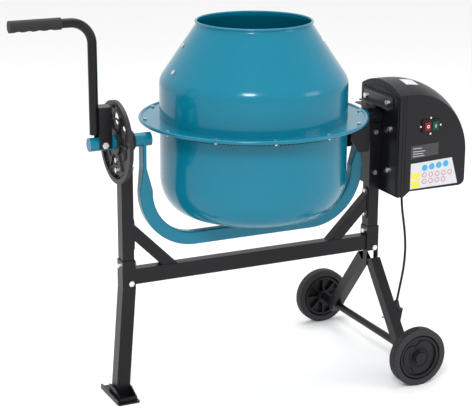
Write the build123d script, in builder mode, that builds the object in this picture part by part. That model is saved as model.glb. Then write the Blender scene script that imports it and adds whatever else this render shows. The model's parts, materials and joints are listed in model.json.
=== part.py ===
"""Small electric concrete mixer: a tilting drum in a U-shaped yoke, carried by a two-post stand.

Millimetres, +Z up, the ground at Z = 0 and the tilt axis along X.
Places along X are given from the drum's axis, which stands at drum_x.
"""

from build123d import *
from math import cos, pi, radians, sin, sqrt, tan
import os

os.makedirs("parts", exist_ok=True)

# ---------------------------------------------------------------- driving dimensions
lever_reach = 612.0  # from the drum's axis to the end of the grip
housing_reach = 585.0  # from the drum's axis to the motor housing's outer wall
drum_x = (lever_reach - housing_reach) / 2

weld_gap = 0.1  # between round faces of pieces that are welded together
run_gap = 0.05  # radial clearance of a shaft in its bearing
free_gap = 0.5  # between pieces that pass each other

# stand
tilt_z = 646.0
post_x = 341.0
post_size = 30.0
post_wall = 2.0
sleeve_size = 34.4
sleeve_wall = 2.0
sleeve_bottom = 289.0
sleeve_top = 352.0
beam_z = 308.5
beam_height = 39.0
beam_depth = 26.0
beam_wall = 2.0
leg_bend_z = 281.0
leg_lean = 4.6
brace_width = 29.0
brace_depth = 22.0
brace_drop_post = 420.0  # height of the brace's middle at the post
brace_plate = 3.0
foot_length = 128.0
foot_width = 57.0
foot_thickness = 4.0
foot_lip = 12.0

# wheels
wheel_radius = 75.0
wheel_width = 27.0
wheel_outer_y = 264.0
rim_radius = 55.0
axle_radius = 9.5
axle_leg_size = 28.0
axle_leg_wall = 2.0
axle_leg_top_y = 22.0
axle_leg_top_z = 262.0
axle_leg_foot_y = 172.0

# tilt bearings and index disc
tube_radius = 16.5
tube_wall = 2.5
tube_outer_end = 430.0
tube_inner_end = 275.0
bearing_radius = 24.5
disc_radius = 100.0
disc_thickness = 10.0
disc_web = 4.0
disc_rim = 12.0
disc_hub_radius = 31.0
index_count = 12
index_radius = 84.0

# yoke
arm_x = 289.5
yoke_width = 33.0
yoke_depth = 25.0
yoke_wall = 2.0
yoke_bottom_z = 386.0
yoke_bend = 128.0
flat_start_z = 520.0
flat_end_z = 577.0
flat_x = 294.5
flat_thickness = 9.0
flat_width = 34.0

# drum
drum_radius = 231.0
drum_wall = 2.0
flange_radius = 283.0
flange_z = 674.0
rim_bead = 4.5
shoulder_z = 771.0
shoulder_bend = 42.0
mouth_radius = 141.0
mouth_z = 913.0
neck_height = 9.0
mouth_bead = 3.2
bowl_bottom_z = 440.0
bowl_corner_z = 528.0
bowl_corner_run = 70.0
hub_hole_radius = 34.0

# gears
ring_teeth = 168
pinion_teeth = 12
gear_mean_radius = 250.0
face_width = 16.0
addendum = 2.6
dedendum = 3.3
tooth_share = 0.42  # of the pitch, so that the pair runs with backlash
ring_inner_radius = 235.0
shaft_radius = 8.0

# motor housing and drive
housing_back_x = 359.0
housing_split_x = 371.0
housing_y = -5.0
housing_half = 96.0
housing_bottom = 448.0
cover_bottom = 461.0
housing_crown = 737.0
housing_round = 188.0  # of the crown, in front view
housing_edge_round = 163.0  # of the flat front's edge
housing_foot_round = 16.0  # of the outer wall's lower edge
housing_wall = 3.0
plate_thickness = 3.0
belt_ratio = 3.0
motor_pulley_radius = 22.0
belt_centres = 125.0
belt_thickness = 5.0
belt_width = 12.0
pulley_x = 383.0
motor_radius = 48.0
motor_length = 105.0
motor_face_x = 402.0
motor_shaft_radius = 7.0

# switch
switch_x = 450.0
switch_z = 628.0
switch_plate_size = (52.0, 34.0)
button_size = (18.0, 22.0)
button_pitch = 22.5
button_travel = 3.0

# lever
lever_x = 415.5
lever_radius = 11.0
lever_wall = 2.0
lever_top = 936.0
lever_bend = 52.0
lever_foot = 670.0
pivot_x = 396.0
pivot_radius = 5.0
bracket_left = 409.0
bracket_right = 378.0
bracket_top = 736.0
bracket_bottom = 637.0
bracket_wall = 2.5
latch_gap = 1.2
grip_length = 122.0
grip_radius = 14.0

# cord
cord_diameter = 6.5
gland_length = 34.0


def at(x, y=0.0, z=0.0):
    """A point given from the foot of the drum's axis."""
    return (drum_x + x, y, z)


def level(z):
    """A horizontal plane at that height, centred on the drum's axis."""
    return Plane(origin=at(0, 0, z))


def across(x):
    """An upright plane facing +X: its x is Y and its y is Z."""
    return Plane(origin=at(x), x_dir=(0, 1, 0), z_dir=(1, 0, 0))


def front(y):
    """An upright plane facing -Y: its x is X from the drum's axis and its y is Z."""
    return Plane(origin=at(0, y), x_dir=(1, 0, 0), z_dir=(0, -1, 0))


drum_axis = Axis(at(0), (0, 0, 1))


def square_tube(size, wall):
    """A square tube's section, for use inside a sketch."""
    Rectangle(size, size)
    Rectangle(size - 2 * wall, size - 2 * wall, mode=Mode.SUBTRACT)


def bolt(place, length, radius, head_radius, head_height, nut=True):
    """A hexagon bolt from its head at the place's origin, along the place's z, with its nut."""
    with BuildPart(mode=Mode.PRIVATE) as made:
        with BuildSketch(place):
            RegularPolygon(head_radius, 6)
        extrude(amount=-head_height)
        with BuildSketch(place):
            Circle(radius)
        extrude(amount=length)
        if nut:
            with BuildSketch(place.offset(length - 3)):
                RegularPolygon(head_radius, 6)
            extrude(amount=-head_height)
    return made.part


# ---------------------------------------------------------------- stand
sleeve_half = sleeve_size / 2
post_half = post_size / 2
post_bottom = leg_bend_z + 4

# bolts that hold each post in its sleeve: one along Y near the foot, one along X near the top
joint_bolt_radius = 4.0
low_bolt_z = 294.0
low_bolt_off = 5.0
high_bolt_z = 338.0
bolt_fit = 0.2


def cross_holes(x):
    """The holes of a post joint, cut from the tube at that x."""
    with Locations(Location(at(x + low_bolt_off, 0, low_bolt_z), (90, 0, 0))):
        Cylinder(joint_bolt_radius + bolt_fit, 60, mode=Mode.SUBTRACT)
    with Locations(Location(at(x, 0, high_bolt_z), (0, 90, 0))):
        Cylinder(joint_bolt_radius + bolt_fit, 60, mode=Mode.SUBTRACT)


def bearing_seat(x):
    """The hollow for the tilt bearing in the top of the post at that x."""
    with Locations(Location(at(x, 0, tilt_z), (0, 90, 0))):
        Cylinder(bearing_radius + weld_gap, post_size + 20, mode=Mode.SUBTRACT)


disc_bolt_drops = (44.0, 69.0)  # below the tilt axis
disc_spot_radius = 9.0  # of the flat under each bolt head, inside the ring of slots
disc_bolt_radius = 4.0

with BuildPart() as left_post:
    with BuildSketch(level(post_bottom)):
        with Locations((-post_x, 0)):
            square_tube(post_size, post_wall)
    extrude(amount=tilt_z - post_bottom)
    bearing_seat(-post_x)
    cross_holes(-post_x)
    for drop in disc_bolt_drops:
        with Locations(Location(at(-post_x, 0, tilt_z - drop), (0, 90, 0))):
            Cylinder(disc_bolt_radius + bolt_fit, post_size + 4, mode=Mode.SUBTRACT)

plate_bolt_zs = (497.0, 604.0)  # on the right post's front, through to its back
wall_bolt_y = 58.0
wall_bolt_zs = (512.0, 619.0)

with BuildPart() as right_post:
    with BuildSketch(level(sleeve_bottom + 3)):
        with Locations((post_x, 0)):
            square_tube(post_size, post_wall)
    extrude(amount=tilt_z - sleeve_bottom - 3)
    bearing_seat(post_x)
    cross_holes(post_x)
    for z in plate_bolt_zs:
        with Locations(Location(at(post_x, 0, z), (90, 0, 0))):
            Cylinder(joint_bolt_radius + bolt_fit, post_size + 4, mode=Mode.SUBTRACT)

# left leg: a sleeve over the post that leans outwards below the cross beam
lean = radians(leg_lean)
leg_foot_x = post_x + (leg_bend_z - foot_thickness) * tan(lean)
leg_overrun = 12.0  # drawn past the ground, then cut level
with BuildPart() as left_leg:
    with BuildLine():
        Polyline(
            at(-post_x, 0, sleeve_top),
            at(-post_x, 0, leg_bend_z),
            at(-leg_foot_x - leg_overrun * tan(lean), 0, foot_thickness - leg_overrun),
        )
    with BuildSketch(level(sleeve_top)):
        with Locations((-post_x, 0)):
            square_tube(sleeve_size, sleeve_wall)
    sweep(transition=Transition.RIGHT)
    split(bisect_by=level(foot_thickness), keep=Keep.TOP)
    cross_holes(-post_x)

foot_centre = leg_foot_x + 1.0
socket_clear = 0.3
socket_height = 24.0
socket_wall = 3.0
socket_reach = 56.0  # how far the socket's cheeks run forward along the plate
with BuildPart() as foot_plate:
    with BuildSketch(level(0)):
        with Locations((-foot_centre, 0)):
            RectangleRounded(foot_width, foot_length, 5)
            with Locations((0, foot_length / 2 - 14), (foot_width / 2 - 10, -foot_length / 2 + 14)):
                Circle(5, mode=Mode.SUBTRACT)
    extrude(amount=foot_thickness)
    with BuildSketch(level(0)):
        with Locations((-foot_centre - foot_width / 2 + foot_thickness / 2, 0)):
            Rectangle(foot_thickness, foot_length - 10)
    extrude(amount=foot_lip)
    cheek_off = sleeve_half / cos(lean) + socket_clear + socket_wall / 2 + socket_height * tan(lean)
    for side in (-1, 1):
        with BuildSketch(Plane(origin=at(-leg_foot_x + side * cheek_off), x_dir=(0, 1, 0), z_dir=(1, 0, 0))):
            with BuildLine():
                Polyline(
                    (-socket_reach, foot_thickness),
                    (-socket_reach, foot_thickness + 10),
                    (-sleeve_half - 4, foot_thickness + socket_height),
                    (sleeve_half, foot_thickness + socket_height),
                    (sleeve_half, foot_thickness),
                    close=True,
                )
            make_face()
        extrude(amount=socket_wall / 2, both=True)
    with BuildSketch(level(foot_thickness)):
        with Locations((-leg_foot_x, -socket_reach + socket_wall / 2)):
            Rectangle(2 * cheek_off, socket_wall)
    extrude(amount=10)

with BuildPart() as right_sleeve:
    with BuildSketch(level(sleeve_bottom)):
        with Locations((post_x, 0)):
            square_tube(sleeve_size, sleeve_wall)
    extrude(amount=sleeve_top - sleeve_bottom)
    cross_holes(post_x)
    # end plate under the sleeve, with two cheeks that the axle legs are welded between
    with BuildSketch(level(sleeve_bottom - 3)):
        with Locations((post_x, 0)):
            Rectangle(sleeve_size, sleeve_size)
    extrude(amount=3)
    for side in (-1, 1):
        with BuildSketch(level(sleeve_bottom - 42)):
            with Locations((post_x + side * (sleeve_half - 1.5), -8)):
                Rectangle(3, 18)
        extrude(amount=42)

beam_end = post_x - sleeve_half
with BuildPart() as cross_beam:
    with BuildSketch(across(-beam_end)):
        with Locations((0, beam_z)):
            Rectangle(beam_depth, beam_height)
            Rectangle(beam_depth - 2 * beam_wall, beam_height - 2 * beam_wall, mode=Mode.SUBTRACT)
    extrude(amount=2 * beam_end)

beam_top = beam_z + beam_height / 2
post_inner = post_x - post_half
screw_radius = 3.0


def brace(side):
    """A 45 degree brace from the post down to the beam; side is -1 at the left and 1 at the right."""
    half = brace_width / sqrt(2)
    wall_x = post_inner - brace_plate
    run = brace_drop_post - beam_top
    with BuildPart() as made:
        with BuildSketch(front(brace_depth / 2)):
            with BuildLine():
                Polyline(
                    (side * wall_x, brace_drop_post + half),
                    (side * (wall_x - run - half), beam_top),
                    (side * (wall_x - run + half), beam_top),
                    (side * wall_x, brace_drop_post - half),
                    close=True,
                )
            make_face()
        extrude(amount=brace_depth)
        # the end plate, screwed to the post
        with BuildSketch(across(side * (wall_x + brace_plate / 2))):
            with Locations((0, brace_drop_post - 6)):
                SlotOverall(84, post_size - 4, rotation=90)
        extrude(amount=brace_plate / 2, both=True)
        with Locations(
            Location(at(side * wall_x, 0, brace_drop_post + half + 6), (0, 90, 0)),
            Location(at(side * wall_x, 0, brace_drop_post - half - 16), (0, 90, 0)),
        ):
            Cylinder(screw_radius + bolt_fit, 12, mode=Mode.SUBTRACT)
    return made


left_brace = brace(-1)
right_brace = brace(1)

# axle legs: square tubes from under the right sleeve down to the axle
leg_run = axle_leg_foot_y - axle_leg_top_y
leg_drop = axle_leg_top_z - wheel_radius
leg_slope = sqrt(leg_run**2 + leg_drop**2)
leg_over = 16.0  # past the axle's centre


def axle_leg(side):
    """The leg towards -Y (side -1) or +Y (side 1), bored for the axle."""
    start = Vector(*at(post_x, side * axle_leg_top_y, axle_leg_top_z))
    along = Vector(0, side * leg_run, -leg_drop).normalized()
    with BuildPart() as made:
        with BuildSketch(Plane(origin=start, x_dir=(1, 0, 0), z_dir=along)):
            square_tube(axle_leg_size, axle_leg_wall)
        extrude(amount=leg_slope + leg_over)
        with Locations(Location(at(post_x, side * axle_leg_foot_y, wheel_radius), (90, 0, 0))):
            Cylinder(axle_radius + weld_gap, 90, mode=Mode.SUBTRACT)
    return made


near_axle_leg = axle_leg(-1)
far_axle_leg = axle_leg(1)

cap_thickness = 6.0
axle_half = wheel_outer_y + 1.5
with BuildPart() as axle:
    with BuildSketch(Plane(origin=at(post_x, -axle_half, wheel_radius), x_dir=(1, 0, 0), z_dir=(0, 1, 0))):
        Circle(axle_radius)
        Circle(axle_radius - 2.5, mode=Mode.SUBTRACT)
    extrude(amount=2 * axle_half)
    chamfer(axle.edges().group_by(Axis.Y)[0], 0.6)

washer_gap = 0.4
washer_thickness = 2.0
with BuildPart() as axle_retainers:
    for side in (-1, 1):
        inner_y = wheel_outer_y - wheel_width
        inner_place = Plane(
            origin=at(post_x, side * (inner_y - washer_gap), wheel_radius),
            x_dir=(1, 0, 0),
            z_dir=(0, -side, 0),
        )
        with BuildSketch(inner_place):
            Circle(17)
            Circle(axle_radius + weld_gap, mode=Mode.SUBTRACT)
        extrude(amount=washer_thickness)
        # a pressed cap closes each end of the axle
        outer_place = Plane(
            origin=at(post_x, side * (wheel_outer_y + washer_gap), wheel_radius),
            x_dir=(1, 0, 0),
            z_dir=(0, side, 0),
        )
        with BuildSketch(outer_place):
            Circle(16)
            Circle(axle_radius + weld_gap, mode=Mode.SUBTRACT)
        extrude(amount=axle_half - wheel_outer_y - washer_gap)
        with BuildSketch(outer_place.offset(axle_half - wheel_outer_y - washer_gap)):
            Circle(16)
        extrude(amount=cap_thickness - 2, taper=20)


def tyre(side):
    """A solid rubber tyre with a rounded tread; side is -1 near and 1 far."""
    middle = side * (wheel_outer_y - wheel_width / 2)
    place = Plane(origin=at(post_x, middle, wheel_radius), x_dir=(1, 0, 0), z_dir=(0, 0, 1))
    with BuildPart() as made:
        with BuildSketch(place) as section:
            with Locations(((wheel_radius + rim_radius) / 2, 0)):
                Rectangle(wheel_radius - rim_radius, wheel_width)
            fillet(section.vertices().group_by(Axis.X)[-1], 6)
            with Locations((rim_radius, 0)):
                Circle(4, mode=Mode.SUBTRACT)
        revolve(axis=Axis(at(post_x, 0, wheel_radius), (0, 1, 0)))
    return made


rim_ring = 6.0
rim_web = 5.0
rim_hub_radius = 19.0
spoke_count = 8


def rim(side):
    """A moulded rim: outer ring, web, hub and ribs, turning on the axle."""
    middle = side * (wheel_outer_y - wheel_width / 2)
    wheel_axis = Axis(at(post_x, 0, wheel_radius), (0, 1, 0))
    place = Plane(origin=at(post_x, middle, wheel_radius), x_dir=(1, 0, 0), z_dir=(0, 0, 1))
    bore = axle_radius + run_gap
    ring_middle = rim_radius - weld_gap - rim_ring / 2
    with BuildPart() as made:
        with BuildSketch(place):
            with Locations((ring_middle, 0)):
                Rectangle(rim_ring, wheel_width - 4)
            with Locations((rim_radius - weld_gap, 0)):
                Circle(4 - weld_gap)
            with Locations(((bore + ring_middle) / 2, side * 3)):
                Rectangle(ring_middle - bore, rim_web)
            with Locations(((bore + rim_hub_radius) / 2, 0)):
                Rectangle(rim_hub_radius - bore, wheel_width - 0.4)
        revolve(axis=wheel_axis)
        face = Plane(
            origin=at(post_x, middle - side * (wheel_width / 2 - 3), wheel_radius),
            x_dir=(1, 0, 0),
            z_dir=(0, side, 0),
        )
        with BuildSketch(face):
            with PolarLocations((rim_hub_radius + ring_middle) / 2, spoke_count):
                Rectangle(ring_middle - rim_hub_radius + 2, 5)
        extrude(amount=wheel_width / 2)
    return made


near_tyre = tyre(-1)
far_tyre = tyre(1)
near_rim = rim(-1)
far_rim = rim(1)

# ---------------------------------------------------------------- tilt bearings and index disc
bearing_overhang = 6.0


def bearing(inner, outer):
    """A bush round the tilt axis from one x to another, welded into its post's top."""
    with BuildPart() as made:
        with BuildSketch(across(inner)):
            with Locations((0, tilt_z)):
                Circle(bearing_radius)
                Circle(tube_radius + run_gap, mode=Mode.SUBTRACT)
        extrude(amount=outer - inner)
        chamfer(made.edges().filter_by(GeomType.CIRCLE).group_by(SortBy.RADIUS)[-1], 1.2)
    return made


post_outer = post_x + post_half
left_bearing = bearing(-post_outer, -post_inner + bearing_overhang)
right_bearing = bearing(post_inner - bearing_overhang, post_outer)

disc_x = -post_outer - disc_thickness
with BuildPart() as index_disc:
    with BuildSketch(across(disc_x)):
        with Locations((0, tilt_z)):
            Circle(disc_radius)
            Circle(disc_radius - disc_rim, mode=Mode.SUBTRACT)
            Circle(disc_hub_radius)
    extrude(amount=disc_thickness)
    with BuildSketch(across(-post_outer - disc_web)):
        with Locations((0, tilt_z)):
            Circle(disc_radius - 2)
            with PolarLocations(index_radius, index_count):
                Rectangle(8, 26, mode=Mode.SUBTRACT)
            with PolarLocations(57, 5, start_angle=-18, angular_range=216, endpoint=True):
                Circle(15, mode=Mode.SUBTRACT)
    extrude(amount=disc_web)
    with BuildSketch(across(disc_x + 2)):
        with Locations((0, tilt_z)):
            with PolarLocations((disc_radius + disc_hub_radius) / 2 - 12, 6, start_angle=0):
                Rectangle(disc_radius - disc_hub_radius - 28, 5)
    extrude(amount=disc_thickness - 2)
    with Locations(Location(at(disc_x + disc_thickness / 2, 0, tilt_z), (0, 90, 0))):
        Cylinder(tube_radius + free_gap, disc_thickness * 3, mode=Mode.SUBTRACT)
    for drop in disc_bolt_drops:
        with Locations(Location(at(disc_x, 0, tilt_z - drop), (0, 90, 0))):
            Cylinder(disc_spot_radius, disc_thickness * 2 - disc_web * 2, mode=Mode.SUBTRACT)
            Cylinder(disc_bolt_radius + bolt_fit, disc_thickness * 3, mode=Mode.SUBTRACT)

# ---------------------------------------------------------------- yoke
with BuildPart() as tilt_tube:
    with BuildSketch(across(-tube_outer_end)):
        with Locations((0, tilt_z)):
            Circle(tube_radius)
    extrude(amount=tube_outer_end - tube_inner_end)
    with BuildSketch(across(-tube_outer_end + 4)):
        with Locations((0, tilt_z)):
            Circle(tube_radius - tube_wall)
    extrude(amount=tube_outer_end - tube_inner_end - 8, mode=Mode.SUBTRACT)
    with Locations(Location(at(-pivot_x, 0, tilt_z), (90, 0, 0))):
        Cylinder(pivot_radius + run_gap, 60, mode=Mode.SUBTRACT)

with BuildPart() as right_trunnion:
    with BuildSketch(across(tube_inner_end)):
        with Locations((0, tilt_z)):
            Circle(tube_radius)
            Circle(shaft_radius + run_gap, mode=Mode.SUBTRACT)
    extrude(amount=post_outer - tube_inner_end)

section_round = 4.0


def yoke_tube_solid(inset):
    """The yoke's outline, drawn smaller by inset: a U of tube with flattened upper ends."""
    width = yoke_width - 2 * inset
    depth = yoke_depth - 2 * inset
    thickness = flat_thickness - 2 * inset
    flat = flat_width - 2 * inset
    corner = max(section_round - inset, 1.0)
    with BuildPart(mode=Mode.PRIVATE) as made:
        with BuildLine(front(0)):
            FilletPolyline(
                (-arm_x, flat_start_z),
                (-arm_x, yoke_bottom_z),
                (arm_x, yoke_bottom_z),
                (arm_x, flat_start_z),
                radius=yoke_bend,
            )
        with BuildSketch(level(flat_start_z)):
            with Locations((-arm_x, 0)):
                RectangleRounded(width, depth, corner)
        sweep()
        for side in (-1, 1):
            with BuildSketch(level(flat_start_z)):
                with Locations((side * arm_x, 0)):
                    RectangleRounded(width, depth, corner)
            with BuildSketch(level(flat_end_z)):
                with Locations((side * flat_x, 0)):
                    RectangleRounded(thickness, flat, min(corner, thickness / 2 - 0.2))
            loft()
            with BuildSketch(level(flat_end_z)):
                with Locations((side * flat_x, 0)):
                    RectangleRounded(thickness, flat, min(corner, thickness / 2 - 0.2))
            extrude(amount=tilt_z - flat_end_z)
    return made.part


spindle_radius = 12.5
with BuildPart() as yoke_tube:
    add(yoke_tube_solid(0))
    add(yoke_tube_solid(yoke_wall), mode=Mode.SUBTRACT)
    # the ends are shaped to the stub tubes that they are welded to
    with Locations(Location(at(0, 0, tilt_z), (0, 90, 0))):
        Cylinder(tube_radius + weld_gap, 3 * arm_x, mode=Mode.SUBTRACT)
    with Locations(Location(at(0, 0, yoke_bottom_z + yoke_width / 2))):
        Cylinder(spindle_radius + weld_gap, 10, mode=Mode.SUBTRACT)

guard_front = 34.0
guard_wall = 2.0
guard_inner = 259.0
guard_outer = 312.0
guard_top = 655.0
guard_bottom = 560.0
guard_web_bottom = flat_end_z + 1  # the web lies on the flattened arm
with BuildPart() as pinion_guard:
    for y in (-guard_front, guard_front - guard_wall):
        with BuildSketch(front(y + guard_wall)):
            with BuildLine():
                Polyline(
                    (guard_inner, guard_top),
                    (guard_inner, guard_bottom + 36),
                    (guard_inner + 22, guard_bottom),
                    (guard_outer, guard_bottom),
                    (guard_outer, guard_top),
                    close=True,
                )
            make_face()
        extrude(amount=guard_wall)
    web_x = flat_x + flat_thickness / 2
    with BuildSketch(across(web_x)):
        with Locations((0, (guard_web_bottom + guard_top) / 2)):
            Rectangle(2 * guard_front - guard_wall, guard_top - guard_web_bottom)
        with Locations((0, tilt_z)):
            Circle(tube_radius + weld_gap, mode=Mode.SUBTRACT)
    extrude(amount=guard_wall)

# ---------------------------------------------------------------- drum spindle, hub and bearings
yoke_bar_top = yoke_bottom_z + yoke_width / 2
hub_bottom = yoke_bar_top + 6
hub_top = bowl_bottom_z + 18
hub_bore_radius = 26.0
hub_skin = 5.0
bearing_height = 12.0

with BuildPart() as drum_spindle:
    with BuildSketch(level(yoke_bottom_z - yoke_width / 2 + yoke_wall + 1)):
        Circle(10)
    extrude(amount=yoke_width - yoke_wall - 1)
    with BuildSketch(level(yoke_bar_top - yoke_wall)):
        Circle(spindle_radius)
    extrude(amount=bowl_bottom_z + 8 - yoke_bar_top + yoke_wall)

with BuildPart() as drum_bearings:
    for z in (hub_bottom + 2, bowl_bottom_z - 8):
        with BuildSketch(level(z)):
            Circle(hub_bore_radius - run_gap)
            Circle(spindle_radius, mode=Mode.SUBTRACT)
        extrude(amount=bearing_height)

with BuildPart() as spindle_nut:
    with BuildSketch(level(bowl_bottom_z + 8)):
        RegularPolygon(11, 6)
    extrude(amount=5)

hub_flange_radius = 62.0
with BuildPart() as drum_hub:
    with BuildSketch(level(hub_bottom)):
        Circle(hub_bore_radius + hub_skin)
    extrude(amount=hub_top - hub_bottom)
    with BuildSketch(level(bowl_bottom_z - 5)):
        Circle(hub_flange_radius)
    extrude(amount=5)
    with BuildSketch(level(hub_bottom)):
        Circle(hub_bore_radius)
    extrude(amount=hub_top - hub_bottom - 3, mode=Mode.SUBTRACT)
    fillet(drum_hub.edges().group_by(Axis.Z)[-1], 2.5)

# ---------------------------------------------------------------- drum
flange_clear = 5.0  # from the lower flange's edge to the rolled rim
flange_bolt_ring = 268.0
flange_bolt_count = 12
flange_bolt_radius = 2.5
flange_bolt_start = 15.0
blade_angles = (174.0, 354.0)
blade_bolt_radius = 3.0
blade_bolt_turn = 6.0  # of each bolt round the drum from its blade
blade_bolt_heights = (800.0, 856.0)
blade_foot_gap = 1.4  # from the curved wall to the blade's flat foot
cone_slope = (drum_radius - mouth_radius) / (mouth_z - neck_height - shoulder_z)


def flange_holes():
    """The bolt holes of the drum's flanges."""
    with Locations(Location(at(0, 0, flange_z))):
        with PolarLocations(flange_bolt_ring, flange_bolt_count, start_angle=flange_bolt_start):
            Cylinder(flange_bolt_radius + bolt_fit, 4 * drum_wall, mode=Mode.SUBTRACT)


def cone_place(angle, z):
    """A plane on the cone's outer face at that height, looking into the drum, with its x round the drum."""
    radius = drum_radius - (z - shoulder_z) * cone_slope
    out_x = cos(radians(angle))
    out_y = sin(radians(angle))
    return Plane(
        origin=at(radius * out_x, radius * out_y, z),
        x_dir=(-out_y, out_x, 0),
        z_dir=(-out_x, -out_y, -cone_slope),
    )


blade_bolt_places = []
for blade_angle in blade_angles:
    blade_bolt_places.append(cone_place(blade_angle + blade_bolt_turn, blade_bolt_heights[0]))
    blade_bolt_places.append(cone_place(blade_angle - blade_bolt_turn, blade_bolt_heights[1]))


def bowl_profile(inset):
    """Half the bowl's outline below its flange, moved inwards by inset."""
    corner_x = drum_radius - bowl_corner_run
    Polyline((drum_radius - inset, flange_z), (drum_radius - inset, bowl_corner_z))
    EllipticalCenterArc(
        (corner_x, bowl_corner_z),
        bowl_corner_run - inset,
        bowl_corner_z - bowl_bottom_z - inset,
        start_angle=-90,
        arc_size=90,
    )
    Polyline((corner_x, bowl_bottom_z + inset), (0, bowl_bottom_z + inset), (0, flange_z))
    Polyline((0, flange_z), (drum_radius - inset, flange_z))


with BuildPart() as drum_bowl:
    with BuildSketch(front(0)):
        with BuildLine():
            bowl_profile(0)
        make_face()
        with BuildLine():
            bowl_profile(drum_wall)
        make_face(mode=Mode.SUBTRACT)
        bowl_flange_radius = flange_radius - rim_bead - flange_clear
        with Locations(((drum_radius + bowl_flange_radius) / 2 - 1, flange_z - drum_wall / 2)):
            Rectangle(bowl_flange_radius - drum_radius + 2, drum_wall)
    revolve(axis=drum_axis)
    with Locations(Location(at(0, 0, bowl_bottom_z))):
        Cylinder(hub_hole_radius, 20, mode=Mode.SUBTRACT)
    flange_holes()

with BuildPart() as drum_cone:
    with BuildSketch(front(0)):
        with BuildLine():
            FilletPolyline(
                (drum_radius, flange_z),
                (drum_radius, shoulder_z),
                (mouth_radius, mouth_z - neck_height),
                (mouth_radius, mouth_z - mouth_bead),
                radius=(shoulder_bend, 8),
            )
            offset(amount=drum_wall, side=Side.LEFT)
        make_face()
        with Locations((mouth_radius, mouth_z - mouth_bead)):
            Circle(mouth_bead)
        # flange with a rolled rim
        with Locations(((drum_radius + flange_radius - rim_bead) / 2 - 1, flange_z + drum_wall / 2)):
            Rectangle(flange_radius - rim_bead - drum_radius + 2, drum_wall)
        with Locations((flange_radius - rim_bead, flange_z + drum_wall / 2)):
            Circle(rim_bead)
    revolve(axis=drum_axis)
    flange_holes()
    for spot in blade_bolt_places:
        with BuildSketch(spot):
            Circle(blade_bolt_radius + bolt_fit)
        extrude(amount=3 * drum_wall, both=True, mode=Mode.SUBTRACT)

# ---------------------------------------------------------------- ring gear and pinion
pitch_share = pinion_teeth / ring_teeth
pinion_pitch_radius = gear_mean_radius * pitch_share
ring_pitch = 2 * pi * gear_mean_radius / ring_teeth
inner_face = gear_mean_radius - face_width / 2
outer_face = gear_mean_radius + face_width / 2
tooth_slope = 0.36  # flank run for each unit of tooth height


def ring_tooth(radius):
    """The corners of a ring tooth's section at that radius, pointing down: its sizes grow with the radius."""
    scale = radius / gear_mean_radius
    half = ring_pitch * tooth_share / 2 * scale
    pitch_z = tilt_z + pinion_pitch_radius * scale
    tip_z = pitch_z - addendum * scale
    root_z = pitch_z + dedendum * scale + 0.5
    tip_half = half - addendum * scale * tooth_slope
    root_half = half + (root_z - pitch_z) * tooth_slope
    return (-tip_half, tip_z), (tip_half, tip_z), (root_half, root_z), (-root_half, root_z)


with BuildPart(mode=Mode.PRIVATE) as one_tooth:
    for radius in (inner_face, outer_face):
        with BuildSketch(Plane(origin=(radius, 0, 0), x_dir=(0, 1, 0), z_dir=(1, 0, 0))):
            with BuildLine():
                Polyline(*ring_tooth(radius), close=True)
            make_face()
    loft(ruled=True)

ring_back_z = flange_z - drum_wall
ring_root_z = tilt_z + pinion_pitch_radius + dedendum
with BuildPart() as ring_gear:
    with BuildSketch(level(ring_root_z)):
        Circle(outer_face + 3)
        Circle(ring_inner_radius, mode=Mode.SUBTRACT)
    extrude(amount=ring_back_z - ring_root_z)
    # a gap, not a tooth, faces the pinion
    half_tooth = 180 / ring_teeth
    with Locations(Location(at(0))):
        with PolarLocations(0, ring_teeth, start_angle=half_tooth):
            add(one_tooth.part)


def pinion_outline(x):
    """The corners of the pinion's outline at that distance from the drum's axis."""
    scale = x / gear_mean_radius
    tip = (pinion_pitch_radius + addendum) * scale
    root = (pinion_pitch_radius - dedendum) * scale
    pitch_half = pi * tooth_share / pinion_teeth
    tip_half = pitch_half - addendum * tooth_slope / (pinion_pitch_radius + addendum)
    root_half = pitch_half + 0.5 * dedendum * tooth_slope / pinion_pitch_radius
    corners = []
    for k in range(pinion_teeth):
        middle = pi / 2 + 2 * pi * k / pinion_teeth
        for radius, angle in ((root, -root_half), (tip, -tip_half), (tip, tip_half), (root, root_half)):
            corners.append((radius * cos(middle + angle), tilt_z + radius * sin(middle + angle)))
    return corners


with BuildPart() as pinion_gear:
    for x in (inner_face, outer_face):
        with BuildSketch(across(x)):
            with BuildLine():
                Polyline(*pinion_outline(x), close=True)
            make_face()
    loft(ruled=True)
    with Locations(Location(at(gear_mean_radius, 0, tilt_z), (0, 90, 0))):
        Cylinder(shaft_radius, face_width * 2, mode=Mode.SUBTRACT)

# ---------------------------------------------------------------- drive: shaft, pulleys and belt
drive_pulley_radius = motor_pulley_radius * belt_ratio
motor_z = tilt_z - belt_centres
pulley_half = belt_width / 2 + 1
flange_lip = 5.0
shaft_end_x = pulley_x + pulley_half + 6

with BuildPart() as pinion_shaft:
    with BuildSketch(across(inner_face - 4)):
        with Locations((0, tilt_z)):
            Circle(shaft_radius)
    extrude(amount=shaft_end_x - inner_face + 4)
    chamfer(pinion_shaft.edges().filter_by(GeomType.CIRCLE), 0.8)


def pulley(radius, centre_z, bore, web):
    """A flanged flat-belt pulley on that shaft."""
    with BuildPart() as made:
        with BuildSketch(across(pulley_x - pulley_half)):
            with Locations((0, centre_z)):
                Circle(radius)
        extrude(amount=2 * pulley_half)
        for x in (pulley_x - pulley_half - 2, pulley_x + pulley_half):
            with BuildSketch(across(x)):
                with Locations((0, centre_z)):
                    Circle(radius + flange_lip)
            extrude(amount=2)
        if web:
            with BuildSketch(across(pulley_x - pulley_half - 2)):
                with Locations((0, centre_z)):
                    with PolarLocations(radius * 0.6, 6):
                        Circle(radius * 0.2)
            extrude(amount=2 * pulley_half + 4, mode=Mode.SUBTRACT)
        with BuildSketch(across(pulley_x - pulley_half - 2)):
            with Locations((0, centre_z)):
                Circle(bore)
        extrude(amount=2 * pulley_half + 4, mode=Mode.SUBTRACT)
    return made


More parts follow.
